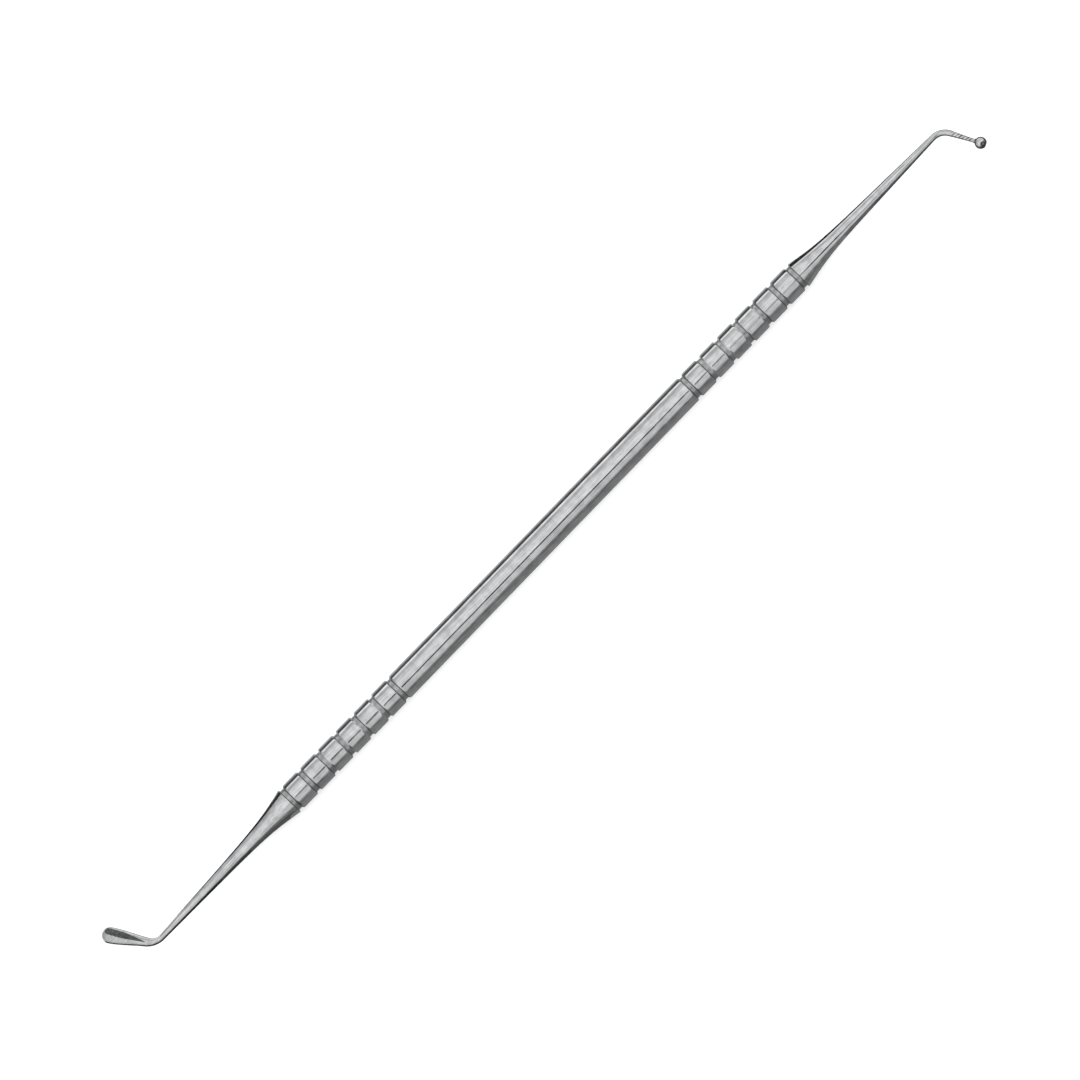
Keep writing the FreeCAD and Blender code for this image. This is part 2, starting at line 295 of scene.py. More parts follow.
# Grit marks along the tool, drawn 0.16 mm apart and 3 mm long. Real ones are five
# times finer, which no picture of the whole tool could show.
stretched = add_node(metal, "ShaderNodeMapping", {"Vector": places, "Scale": (330, 6200, 6200)})
grit = add_node(metal, "ShaderNodeTexNoise", {
    "Vector": stretched, "Scale": 1.0, "Detail": 3.0}).outputs["Fac"]
# Cloudy patches about 1.5 mm wide, left by handling and by the polishing wheel.
clouds = add_node(metal, "ShaderNodeTexNoise", {
    "Vector": places, "Scale": 700.0, "Detail": 3.0}).outputs["Fac"]
print("patterns in", steel.name)

# %% [markdown]
# Polished steel has a roughness of about 0.1 and turned steel of about 0.4. The
# clouds move it up and down a little, so that a reflection isn't equally sharp
# everywhere.

# %% Roughness
POLISHED = 0.09
TURNED = 0.36
STONE_CUT = 0.42

rough = add_node(metal, "ShaderNodeMapRange", {
    "Value": ground, "To Min": POLISHED, "To Max": TURNED})
rougher = add_node(metal, "ShaderNodeMapRange", {
    "Value": hollow, "To Min": rough, "To Max": STONE_CUT})
worn = add_node(metal, "ShaderNodeMapRange", {
    "Value": clouds, "From Min": 0.3, "From Max": 0.7, "To Min": -0.03, "To Max": 0.05})
roughness = add_node(metal, "ShaderNodeMath", {0: rougher, 1: worn}, operation="ADD")
print("roughness from", POLISHED, "to", STONE_CUT)

# %% [markdown]
# The steel's colour has shade painted into it: darker in the grooves and darkest in
# the stone-cut hollow. The grit and the clouds show in its colour, and so do the pits
# of the stone, but only in the hollow.

# %% Colour
# Painted shade: the grey of the grooves and the darker grey of the hollow.
SHADED_GROOVE_GREY = "#8A8B8C"
SHADED_HOLLOW_GREY = "#595A5A"

in_groove = add_node(metal, "ShaderNodeMapRange", {"Value": ground, "From Min": 0.5})
with_groove_shade = add_node(metal, "ShaderNodeMix", {
    "Factor": in_groove, "A": from_hex(STEEL_GREY), "B": from_hex(SHADED_GROOVE_GREY)}, data_type="RGBA")
cut = add_node(metal, "ShaderNodeMix", {
    "Factor": hollow, "A": with_groove_shade.outputs["Result"], "B": from_hex(SHADED_HOLLOW_GREY)}, data_type="RGBA")

grain = add_node(metal, "ShaderNodeMath", {0: grit, 1: clouds}, operation="ADD")
tone = add_node(metal, "ShaderNodeMapRange", {
    "Value": grain, "From Min": 0.75, "From Max": 1.25, "To Min": 0.78, "To Max": 1.16})
# Pits 0.25 mm wide.
stone = add_node(metal, "ShaderNodeTexNoise", {
    "Vector": places, "Scale": 4000.0, "Detail": 2.0}).outputs["Fac"]
pits = add_node(metal, "ShaderNodeMapRange", {
    "Value": stone, "From Min": 0.3, "From Max": 0.7, "To Min": 0.5, "To Max": 1.35})
pitted = add_node(metal, "ShaderNodeMix", {"Factor": hollow, "A": 1.0, "B": pits})
speckled = add_node(metal, "ShaderNodeMath", {0: tone, 1: pitted}, operation="MULTIPLY")
shade = add_node(metal, "ShaderNodeVectorMath", {
    0: cut.outputs["Result"], 1: speckled}, operation="MULTIPLY")
print("greys:", STEEL_GREY, SHADED_GROOVE_GREY, SHADED_HOLLOW_GREY)

# %% [markdown]
# The grit also stands out a little, and one metal shader takes everything together.

# %% Surface of the steel
GRIT_HEIGHT = 0.01

marks = add_node(metal, "ShaderNodeBump", {
    "Height": grit, "Strength": 0.35, "Distance": GRIT_HEIGHT * MM})
surface = add_node(metal, "ShaderNodeBsdfPrincipled", {
    "Base Color": shade, "Metallic": 1.0, "Roughness": roughness, "Normal": marks})
add_node(metal, "ShaderNodeOutputMaterial", {"Surface": surface})
print("made", steel.name, "with", len(metal.nodes), "nodes")

# %% [markdown]
# ## Make the handle
#
# The modifier's inputs are set by each socket's identifier, before Blender first
# works the tree out. The result is then copied to a plain mesh, so that nothing
# live is left on the piece.

# %% The handle as a plain mesh
def grow(tree, values):
    holder = bpy.data.objects.new("holder", bpy.data.meshes.new("holder"))
    bpy.context.scene.collection.objects.link(holder)
    modifier = holder.modifiers.new("nodes", "NODES")
    modifier.node_group = tree
    for item in tree.interface.items_tree:
        if item.in_out == "INPUT" and item.name in values:
            modifier[item.identifier] = values[item.name]
    graph = bpy.context.evaluated_depsgraph_get()
    mesh = bpy.data.meshes.new_from_object(holder.evaluated_get(graph), depsgraph=graph)
    bpy.data.objects.remove(holder)
    return mesh


handle_mesh = grow(bar, {"Edge sharpness": EDGE_SHARPNESS, "Material": steel})
print("handle has", len(handle_mesh.vertices), "points")

# %% [markdown]
# ## Rings along a bent rod
#
# Both ends are rods that bend, swell and thin out. Each is a stack of rings. A ring
# knows where its centre is, which way the rod runs there, and how far it reaches at
# each angle. Every ring has as many points as the handle's skin, so the two can be
# joined point to point. The lengths of a shank and its arm run to the corner where
# their centre lines meet, and the shank leans from the handle's line by a degree at
# most.

# %% Ring maths
# Lengths and radii in millimetres, angles in degrees.
BALL = {"shank": 29.4, "lean": 0.3, "neck": 0.45, "bend": 2.4, "angle": 65.0}
PADDLE = {"shank": 28.3, "lean": -1.0, "neck": 0.47, "bend": 2.5, "angle": 57.8}
ANGLES = np.arange(SIDES_AROUND) * math.tau / SIDES_AROUND


def ring(centre_x, centre_y, heading, across, up):
    """Points of one ring: across and up are offsets in the ring's own plane."""
    turn = math.radians(heading)
    x = centre_x + across * math.sin(turn)
    y = centre_y + across * math.cos(turn)
    return np.stack([x, y, up], axis=1)


def on_arm(end, distance, across, up):
    """A ring at a distance along the arm from the corner of the bend."""
    angle = math.radians(end["angle"])
    x = end["shank"] + distance * math.cos(angle)
    y = -distance * math.sin(angle)
    return ring(x, y, end["angle"], across, up)


def bend_reach(end):
    """From the corner of the bend to where its curve starts and ends."""
    return end["bend"] * math.tan(math.radians(end["angle"]) / 2)


print("bends start", [round(bend_reach(end), 2) for end in (BALL, PADDLE)], "mm from their corners")

# %% [markdown]
# ## The shanks
#
# Beyond the last groove the bar was turned to a long taper, and eight flats were
# ground on it that run out after about 11 mm. Each ring is therefore the smallest of
# the round taper, the nearest flats and, at the very start, the wall of the groove.

# %% Taper of a shank
FLARE_LENGTH = 4.2
FLARE_POWER = 1.3
SHANK_TAPER = 0.031
# How near the flats come to the axis, as a share of the taper's radius.
FLAT_AT_HANDLE = 0.935
FLAT_AT_RUNOUT = 1.02
FLAT_RUNOUT = 19.0
SHANK_SHARPNESS = 140


def shank_radius(x, straight, neck):
    line = neck + SHANK_TAPER * (straight - x)
    root = neck + SHANK_TAPER * straight
    base = ACROSS_FLATS / 2 / FLAT_AT_HANDLE
    return line + (base - root) * math.exp(-(max(x, 0) / FLARE_LENGTH) ** FLARE_POWER)


def flats(fold):
    """How near each point's flat comes to the axis, for its angle from that flat."""
    return np.cos(fold) / (1 - CROWN * np.tan(fold) ** 2)


print("shank is", round(2 * shank_radius(5, 28, BALL["neck"]), 2), "mm thick 5 mm from the handle")

# %% [markdown]
# The rings stand close together where the wall of the groove ends, and then further
# and further apart. In the bend they turn like the spokes of a wheel.

# %% Rings of a shank and a bend
SHANK_RINGS = 52
SHANK_SPREAD = 1.7
BEND_RINGS = 18
WALL_RINGS = (0.3, 0.5, 0.018)  # from, to and step


def shank_rings(end):
    straight = end["shank"] - bend_reach(end)
    fold = ONE_SIDE / 2 - np.abs((ANGLES % ONE_SIDE) - ONE_SIDE / 2)
    near, other = flats(fold), flats(ONE_SIDE - fold)
    after_wall = WALL_RINGS[1]
    spread = np.linspace(0, 1, SHANK_RINGS) ** SHANK_SPREAD
    stations = [0.0, 0.15, *np.arange(*WALL_RINGS)]
    stations += list(after_wall + (straight - after_wall) * spread)
    rings = []
    for x in stations:
        radius = shank_radius(x, straight, end["neck"])
        share = FLAT_AT_HANDLE + (FLAT_AT_RUNOUT - FLAT_AT_HANDLE) * math.sqrt(x / FLAT_RUNOUT)
        blend = (near / share) ** SHANK_SHARPNESS + (other / share) ** SHANK_SHARPNESS + 1
        reach = radius * blend ** (-1 / SHANK_SHARPNESS)
        wall_reach = GROOVE_FLOOR + max(0, x - GROOVE_WIDTH / 2) / math.tan(WALL_SLANT)
        reach = np.minimum(reach, wall_reach)
        rings.append(ring(x, 0.0, 0.0, reach * np.sin(ANGLES), reach * np.cos(ANGLES)))
    return rings


def bend_rings(end, sizes):
    """Rings through the bend, which turns towards the rod's right."""
    straight = end["shank"] - bend_reach(end)
    rings = []
    for share in np.linspace(0, 1, BEND_RINGS)[1:]:
        angle = math.radians(end["angle"] * share)
        x = straight + end["bend"] * math.sin(angle)
        y = -end["bend"] * (1 - math.cos(angle))
        half_width, half_thick = sizes(share)
        across, up = half_width * np.sin(ANGLES), half_thick * np.cos(ANGLES)
        rings.append(ring(x, y, end["angle"] * share, across, up))
    return rings


print("points per ring:", SIDES_AROUND)

# %% [markdown]
# ## The ball end
#
# The arm thins towards a small collar, and the ball beyond it has a flat ground on
# its far side, which is the face that presses. All of this is round about the arm,
# so one number per ring is enough.

# %% Profile of the ball end
BALL_ARM = 6.26
BALL_ARM_END = 0.29
BALL_RADIUS = 0.88
ARM_RINGS = 76
ARM_SAG = 0.015
COLLAR_RADIUS = 0.38
COLLAR_LENGTH = 0.3
COLLAR_SHARES = (0.12, 0.5, 0.88, 0.98)
COLLAR_END = BALL_ARM - math.sqrt(BALL_RADIUS ** 2 - COLLAR_RADIUS ** 2)
COLLAR_START = COLLAR_END - COLLAR_LENGTH
BALL_RINGS = 46
FACE_RADIUS = 0.5
FACE_SHARES = (0.98, 0.9, 0.75, 0.62, 0.5, 0.3)
FACE_STEP = 0.004


def ball_profile(reach):
    """Distance and radius of each ring from the end of the bend to the flat face."""
    neck = BALL["neck"]
    steps = []
    for t in np.linspace(0, 1, ARM_RINGS)[1:]:
        sag = 4 * ARM_SAG * t * (1 - t)
        steps.append((reach + (COLLAR_START - reach) * t, neck + (BALL_ARM_END - neck) * t - sag))
    for t in COLLAR_SHARES:
        widening = (COLLAR_RADIUS - BALL_ARM_END) * t
        steps.append((COLLAR_START + COLLAR_LENGTH * t, BALL_ARM_END + widening))
    first = math.atan2(COLLAR_RADIUS, COLLAR_END - BALL_ARM)
    last = math.atan2(FACE_RADIUS, math.sqrt(BALL_RADIUS ** 2 - FACE_RADIUS ** 2))
    for angle in np.linspace(first, last, BALL_RINGS):
        steps.append((BALL_ARM + BALL_RADIUS * math.cos(angle), BALL_RADIUS * math.sin(angle)))
    face = steps[-1][0]
    for share in FACE_SHARES:
        steps.append((face + FACE_STEP, FACE_RADIUS * share))
    return steps


print("collar from", round(COLLAR_START, 2), "to", round(COLLAR_END, 2), "mm past the corner")

# %% [markdown]
# Slanting file marks wind round the arm like a screw with three threads, and a slower
# wave that runs the other way makes them uneven. Painted shade darkens the corner of
# the collar, and painted dark reflections lie in a ring round the ball and at the rim
# of the flat face. A small round spot on the ball's upper side has a painted dark edge
# too, a reflection, 16 degrees from its middle.

# %% File marks, painted shade and painted reflections
MARK_PITCH = 0.52
MARK_DEPTH = 0.015
MARK_FADE_IN = 0.8
MARK_FADE_OUT = 0.3
CORNER_WIDTH = 0.2
DARK_RING_AT = 0.5
DARK_RING_WIDTH = 0.12
FACE_RIM = 0.04
SPOT_TOWARDS = np.array((0.08, -0.66, 0.747))
SPOT_ANGLE = 16
SPOT_EDGE = 6


def file_marks(distance, length):
    """Depth of the slanting file marks round one ring, from 0 to 1."""
    if not 0 < distance < length:
        return np.zeros(SIDES_AROUND)
    fade = min(1.0, distance / MARK_FADE_IN, (length - distance) / MARK_FADE_OUT)
    screw = np.sin(math.tau * distance / MARK_PITCH - 3 * ANGLES)
    waver = np.sin(math.tau * distance / (2.6 * MARK_PITCH) + ANGLES)
    return fade * np.clip(0.15 + 1.1 * (screw + 0.4 * waver), 0, 1)


def painted_dark_rings(distance, radius, face):
    """Painted dark rings: shade at the collar, reflections on the ball and round the flat face."""
    corner = max(0, 1 - abs(distance - COLLAR_END) / CORNER_WIDTH)
    dark_ring = max(0, 1 - abs(distance - BALL_ARM - DARK_RING_AT) / DARK_RING_WIDTH)
    rim = float(distance > face - FACE_RIM and radius > 0.6 * FACE_RADIUS)
    return corner + dark_ring + rim


def painted_spot_rim(points, centre):
    """The spot's dark edge, a painted reflection, for points round the ball's centre."""
    away = (points - centre) / np.linalg.norm(points - centre, axis=1, keepdims=True)
    from_spot = np.degrees(np.arccos(np.clip(away @ SPOT_TOWARDS, -1, 1)))
    return np.clip(2.2 - np.abs(from_spot - SPOT_ANGLE) / SPOT_EDGE, 0, 1)


print("file marks are", MARK_DEPTH, "mm deep")

# %% [markdown]
# The stack of the ball end is now the shank, the bend and this profile. Each ring
# also keeps a mask, which says how dark and dull each of its points is; beyond the
# file marks, the dark is painted shade and painted reflection.

# %% Stack of the ball end
def ball_end():
    reach = bend_reach(BALL)
    neck = BALL["neck"]
    rings = shank_rings(BALL) + bend_rings(BALL, lambda share: (neck, neck))
    masks = [np.zeros(SIDES_AROUND) for _ in rings]
    profile = ball_profile(reach)
    face = profile[-1][0]
    centre = on_arm(BALL, BALL_ARM, np.zeros(1), np.zeros(1))[0]
    for distance, radius in profile:
        marks = file_marks(distance - reach, COLLAR_START - reach)
        here = radius - MARK_DEPTH * marks
        points = on_arm(BALL, distance, here * np.sin(ANGLES), here * np.cos(ANGLES))
        # Painted reflections on the ball: the spot's edge, the ring and the face rim.
        spot = painted_spot_rim(points, centre) * (distance > COLLAR_END)
        rings.append(points)
        masks.append(np.maximum(np.maximum(marks, spot), painted_dark_rings(distance, radius, face)))
    tip = on_arm(BALL, face, np.zeros(1), np.zeros(1))[0]
    return rings, masks, tip


ball_rings, ball_masks, ball_tip = ball_end()
print("rings of the ball end:", len(ball_rings))

# %% [markdown]
# ## The paddle end
#
# Here the round rod flattens through the bend and widens to a leaf with a blunt
# round tip. A few widths were measured along the leaf, and a soft curve runs
# through them.

# %% Outline of the leaf
LEAF_AT = [1.38, 2.4, 3.6, 5.05, 6.1, 7.05]
LEAF_HALF_WIDTH = [0.69, 0.77, 0.93, 1.09, 1.19, 1.22]
LEAF_HALF_THICKNESS = (0.58, 0.72)
LEAF_WIDEST = LEAF_AT[-1]
TIP_LENGTH = 1.2


def smooth_through(places, values, at):
    """A soft curve through a few measured values."""
    slopes = np.gradient(np.array(values), np.array(places))
    i = int(np.clip(np.searchsorted(places, at) - 1, 0, len(places) - 2))
    gap = places[i + 1] - places[i]
    t = (at - places[i]) / gap
    first = (2 * t ** 3 - 3 * t ** 2 + 1) * values[i] + (t ** 3 - 2 * t ** 2 + t) * gap * slopes[i]
    second = (3 * t ** 2 - 2 * t ** 3) * values[i + 1] + (t ** 3 - t ** 2) * gap * slopes[i + 1]
    return first + second


def leaf_size(distance):
    """Half the width and half the thickness of the leaf."""
    start, widest = LEAF_AT[0], LEAF_WIDEST
    thin, thick = LEAF_HALF_THICKNESS
    half_thick = thin + (thick - thin) * min(1.0, (distance - start) / (widest - start))
    if distance <= widest:
        return smooth_through(LEAF_AT, LEAF_HALF_WIDTH, distance), half_thick
    shrink = math.sqrt(max(0.0, 1 - ((distance - widest) / TIP_LENGTH) ** 2))
    return LEAF_HALF_WIDTH[-1] * shrink, half_thick * shrink


print("the leaf is", 2 * leaf_size(LEAF_WIDEST)[0], "mm wide")

# %% [markdown]
# A teardrop was ground into the leaf's upper side, close to the inner edge: it starts
# as a point near the bend and ends round near the tip. Its surface is part of a small
# cylinder, so each point of the leaf is pushed down to that cylinder where it lies
# above it. Three places along the leaf are given: the teardrop's point, where it is
# full, and where it starts to round off.

# %% The teardrop hollow
HOLLOW_AT = (1.2, 5.0, 7.4)
HOLLOW_OFFSET = (-0.18, 0.35, 0.6)
HOLLOW_RADIUS = 0.7
HOLLOW_DEPTH = 0.28
HOLLOW_EDGE = 0.04


def hollow_floor(distance, across):
    """Height of the teardrop's floor, and whether a point is inside its outline."""
    tops = []
    for at, offset in zip(HOLLOW_AT, HOLLOW_OFFSET):
        half_width, half_thick = leaf_size(min(at, LEAF_WIDEST))
        tops.append(half_thick * math.sqrt(1 - (offset / half_width) ** 2))
    lift = HOLLOW_RADIUS - HOLLOW_DEPTH
    at = min(max(distance, HOLLOW_AT[0]), HOLLOW_AT[2])
    centre = -np.interp(at, HOLLOW_AT, HOLLOW_OFFSET)
    height = np.interp(at, HOLLOW_AT, (tops[0], tops[1] + lift, tops[2] + lift))
    radius = np.interp(at, HOLLOW_AT, (0.0, HOLLOW_RADIUS, HOLLOW_RADIUS))
    beyond = distance - at
    room = radius ** 2 - (across - centre) ** 2 - beyond ** 2
    return height - np.sqrt(np.maximum(room, 0)), room > 0


print("the hollow is", HOLLOW_DEPTH, "mm deep")

# %% [markdown]
# The rings of the leaf are close together, because the hollow's edge has to look
# smooth. The leaf's upper side is also made a little duller and darker than the
# shank, apart from its inner rim.

# %% Stack of the paddle end
LEAF_RINGS = 102
TIP_RINGS = 26
LEAF_DULL_AND_DARK = 0.18
DULL_FROM = 2.0
DULL_FADE = 2.0


def paddle_end():
    reach = bend_reach(PADDLE)
    neck = PADDLE["neck"]
    half_width, half_thick = leaf_size(LEAF_AT[0])

    def swelling(share):
        growth = share ** 2
        return neck + (half_width - neck) * growth, neck + (half_thick - neck) * growth

    rings = shank_rings(PADDLE) + bend_rings(PADDLE, swelling)
    masks = [np.zeros(SIDES_AROUND) for _ in rings]
    leaf = list(np.linspace(reach, LEAF_WIDEST, LEAF_RINGS)[1:])
    quarter_turn = np.linspace(0, math.pi / 2, TIP_RINGS)[1:-1]
    leaf += [LEAF_WIDEST + TIP_LENGTH * math.sin(angle) for angle in quarter_turn]
    for distance in leaf:
        wide, thick = leaf_size(distance)
        across, up = wide * np.sin(ANGLES), thick * np.cos(ANGLES)
        floor, inside = hollow_floor(distance, across)
        # The cut's mask makes the hollow dull and paints shade into its colour.
        cut = np.where(inside & (up > 0), np.clip((up - floor) / HOLLOW_EDGE, 0, 1), 0)
        past_neck = np.clip((distance - DULL_FROM) / DULL_FADE, 0, 1)
        off_rim = np.clip(across / wide * 3 + 1.2, 0, 1)
        masks.append(np.maximum(cut, LEAF_DULL_AND_DARK * past_neck * off_rim * (up > 0)))
        rings.append(on_arm(PADDLE, distance, across, np.where(cut > 0, floor, up)))
    tip = on_arm(PADDLE, LEAF_WIDEST + TIP_LENGTH, np.zeros(1), np.zeros(1))[0]
    return rings, masks, tip


paddle_rings, paddle_masks, paddle_tip = paddle_end()
print("rings of the paddle end:", len(paddle_rings))

# %% [markdown]
# ## From rings to a mesh
#
# Each end was built pointing along +X from the last groove. It leans a little, moves
# out to that groove, and the paddle end also turns half round. Then each pair of
# rings is joined by faces, and the last ring is closed with a fan. The finish of
# each ring, from 0 for polished to 1 for as turned, depends on where it is: floor of
# the groove, wall, shank or ball.

# %% Meshes of both ends
SHANK_FINISH = 0.08
# Above 0.5 the finish also paints shade into the colour, on the groove's floor and wall.
FLOOR_FINISH = 0.8
WALL_FINISH = 1.0
WALL_END = 0.43


def place_points(points, lean, heading):
    turn = math.radians(-lean)
    x = points[:, 0] * math.cos(turn) - points[:, 1] * math.sin(turn) + LAST_GROOVE
    y = points[:, 0] * math.sin(turn) + points[:, 1] * math.cos(turn)
    return np.stack([x * heading, y * heading, points[:, 2] + AXIS_HEIGHT], axis=1) * MM


def finish_of(rings, polished_rings):
    """Turned in the groove, ground along the shank, and polished in the last rings."""
    values = []
    for number, points in enumerate(rings):
        x = points[:, 0].mean()
        if x < GROOVE_WIDTH / 2:
            values.append(FLOOR_FINISH)
        elif x < WALL_END:
            values.append(WALL_FINISH)
        elif number < len(rings) - polished_rings:
            values.append(SHANK_FINISH)
        else:
            values.append(0.0)
    return np.array(values)


def store(mesh, name, values):
    attribute = mesh.attributes.new(name, "FLOAT", "POINT")
    attribute.data.foreach_set("value", values)


def rod_mesh(name, rings, masks, tip, lean, heading, finish):
    n = SIDES_AROUND
    points = place_points(np.concatenate(rings + [tip[None, :]]), lean, heading)
    # The first ring lies on the handle's last one, so it must not lean.
    points[:n] = place_points(rings[0], 0.0, heading)
    faces = []
    for row in range(len(rings) - 1):
        for i in range(n):
            j = (i + 1) % n
            faces.append((row * n + i, (row + 1) * n + i, (row + 1) * n + j, row * n + j))
    last = (len(rings) - 1) * n
    for i in range(n):
        faces.append((last + i, len(points) - 1, last + (i + 1) % n))
    mesh = bpy.data.meshes.new(name)
    mesh.from_pydata(points.tolist(), [], faces)
    store(mesh, "ground", np.append(np.repeat(finish, n), finish[-1]))
    store(mesh, "hollow", np.append(np.concatenate(masks), 0.0))
    mesh.materials.append(steel)
    return mesh


# The ball is polished from its collar on.
polished_rings = len(COLLAR_SHARES) + BALL_RINGS + len(FACE_SHARES)
ball_mesh = rod_mesh("ball end", ball_rings, ball_masks, ball_tip, BALL["lean"], 1,
                     finish_of(ball_rings, polished_rings))
paddle_mesh = rod_mesh("paddle end", paddle_rings, paddle_masks, paddle_tip, PADDLE["lean"], -1,
                       finish_of(paddle_rings, 0))
print("points at the ends:", len(ball_mesh.vertices), len(paddle_mesh.vertices))

# %% [markdown]
# The grooves were turned with a pointed tool and never polished, so they are rough,
# and shade is painted into them: some on their floors and more on their walls. A
# point that lies below the bar's surface is in a groove, and its distance from the
# groove's middle says if it is floor or wall.

# %% Finish and painted shade of the handle
SUNK = 0.006
WALL_SHADE = 0.9


def mark_grooves(mesh):
    points = np.zeros(len(mesh.vertices) * 3)
    mesh.vertices.foreach_get("co", points)
    points = points.reshape(-1, 3) / MM
    reach = np.hypot(points[:, 1], points[:, 2] - AXIS_HEIGHT)
    past = (np.abs(points[:, 0]) - FIRST_GROOVE + GROOVE_PITCH / 2) % GROOVE_PITCH
    on_floor = np.abs(past - GROOVE_PITCH / 2) <= GROOVE_WIDTH / 2
    sunk = reach < AXIS_HEIGHT - SUNK
    store(mesh, "ground", np.where(sunk, np.where(on_floor, FLOOR_FINISH, WALL_FINISH), 0.0))
    # Painted shade on the groove walls, nearly as dark as the hollow.
    store(mesh, "hollow", np.where(sunk & ~on_floor, WALL_SHADE, 0.0))
    return int(sunk.sum())


print("points in grooves:", mark_grooves(handle_mesh))

# %% [markdown]
# ## One tool
#
# The three meshes are poured into one, and the points where they meet are merged, so
# that the tool is a single closed skin. Its faces are then turned to point outwards.

# %% The joined tool
import bmesh

JOIN_GAP = 0.004 * MM

whole = bmesh.new()
for mesh in (handle_mesh, ball_mesh, paddle_mesh):
    whole.from_mesh(mesh)
bmesh.ops.remove_doubles(whole, verts=whole.verts, dist=JOIN_GAP)
bmesh.ops.recalc_face_normals(whole, faces=whole.faces)
open_edges = sum(1 for edge in whole.edges if len(edge.link_faces) != 2)
for face in whole.faces:
    face.smooth = True
tool_mesh = bpy.data.meshes.new("dental_plugger")
whole.to_mesh(tool_mesh)
volume = whole.calc_volume(signed=True)
whole.free()
tool_mesh.materials.clear()
tool_mesh.materials.append(steel)
tool = bpy.data.objects.new("dental_plugger", tool_mesh)
bpy.context.scene.collection.objects.link(tool)
triangles = sum(len(p.vertices) - 2 for p in tool_mesh.polygons)
print("triangles", triangles, "open edges", open_edges, "volume in mm3", round(volume / MM ** 3, 1))

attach(tool, "root")
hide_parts("plugger")

# %% [markdown]
# ## The floor
#
# The tool lies on a plain white table. The table keeps the tool's soft shadow. Seen
# directly or in the steel, it is topped up to white, as the page around a catalogue
# picture is.

# %% Floor
FLOOR_WIDTH = 6.0
TABLE_WHITE = "#F4F4F4"
TABLE_TOP_UP = 0.42


def flat_floor(size):
    mesh = bpy.data.meshes.new("floor")
    half = size / 2
    corners = [(-half, -half, 0), (half, -half, 0), (half, half, 0), (-half, half, 0)]
    mesh.from_pydata(corners, [], [(0, 1, 2, 3)])
    plane = bpy.data.objects.new("floor", mesh)
    bpy.context.scene.collection.objects.link(plane)
    return plane


def seen_directly(tree):
    """1 where a ray comes from the camera, or by way of metal or glass."""
    path = add_node(tree, "ShaderNodeLightPath").outputs
    either = add_node(tree, "ShaderNodeMath", {
        0: path["Is Camera Ray"], 1: path["Is Glossy Ray"]}, operation="MAXIMUM")
    return add_node(tree, "ShaderNodeMath", {
        0: either, 1: path["Is Transmission Ray"]}, operation="MAXIMUM")


def white_table():
    material = empty_material("White painted table")
    tree = material.node_tree
    paint = add_node(tree, "ShaderNodeBsdfDiffuse", {"Color": from_hex(TABLE_WHITE)})
    top_up = add_node(tree, "ShaderNodeMath", {
        0: seen_directly(tree), 1: TABLE_TOP_UP}, operation="MULTIPLY")
    glow = add_node(tree, "ShaderNodeEmission", {"Color": (1, 1, 1, 1), "Strength": top_up})
    both = add_node(tree, "ShaderNodeAddShader", {0: paint, 1: glow})
    add_node(tree, "ShaderNodeOutputMaterial", {"Surface": both})
    return material


floor = flat_floor(FLOOR_WIDTH)
floor.data.materials.append(white_table())
print("floor is", floor.dimensions.x, "m wide")

# %% [markdown]
# ## The light tent
#
# Polished steel only looks like steel when it has something to reflect. A
# photographer puts a tent of white cloth over it, with a gap here and a black card
# there, so that each flat of the handle picks up its own even tone and the rounded
# edges between them show as thin dark and bright lines. This tent is half a tube
# along the tool. Its brightness depends only on the angle, from 0 at the table on
# the near side, over the top, to 180 at the table on the far side. The camera looks
# through the cloth.

# %% Light tent
TENT_RADIUS = 0.9
TENT_LENGTH = 3.2
TENT_STEPS = 90
TENT_TONES = [
    (0, 0.30), (15, 0.24), (18, 0.99), (46, 0.99), (70, 1.25),
    (109, 1.25), (121, 0.82), (146, 0.82), (150, 1.5), (180, 1.5),
]


def tent_mesh(radius, length, steps):
    points, faces = [], []
    for step in range(steps + 1):
        angle = math.pi * step / steps
        y, z = -radius * math.cos(angle), radius * math.sin(angle)
        points += [(-length / 2, y, z), (length / 2, y, z)]
    for step in range(steps):
        faces.append((2 * step, 2 * step + 2, 2 * step + 3, 2 * step + 1))
    mesh = bpy.data.meshes.new("light tent")
    mesh.from_pydata(points, [], faces)
    return mesh


def tent_cloth():
    material = empty_material("Lit white tent cloth")
    tree = material.node_tree
    places = add_node(tree, "ShaderNodeTexCoord").outputs["Object"]
    axes = add_node(tree, "ShaderNodeSeparateXYZ", {0: places}).outputs
    near = add_node(tree, "ShaderNodeMath", {0: axes["Y"], 1: -1.0}, operation="MULTIPLY")
    angle = add_node(tree, "ShaderNodeMath", {0: axes["Z"], 1: near}, operation="ARCTAN2")
    share = add_node(tree, "ShaderNodeMath", {0: angle, 1: math.pi}, operation="DIVIDE")
    tones = add_node(tree, "ShaderNodeValToRGB", {0: share})
    stops = tones.color_ramp.elements
    while len(stops) > 1:
        stops.remove(stops[-1])
    for number, (degrees, tone) in enumerate(TENT_TONES):
        stop = stops[0] if number == 0 else stops.new(degrees / 180)
        stop.position = degrees / 180
        stop.color = (tone, tone, tone, 1)
    glow = add_node(tree, "ShaderNodeEmission", {"Color": tones, "Strength": 1.0})
    add_node(tree, "ShaderNodeOutputMaterial", {"Surface": glow})
    return material


tent = bpy.data.objects.new("light_tent", tent_mesh(TENT_RADIUS, TENT_LENGTH, TENT_STEPS))
bpy.context.scene.collection.objects.link(tent)
tent.data.materials.append(tent_cloth())
tent.visible_camera = False
print("tent has", len(TENT_TONES), "tones")

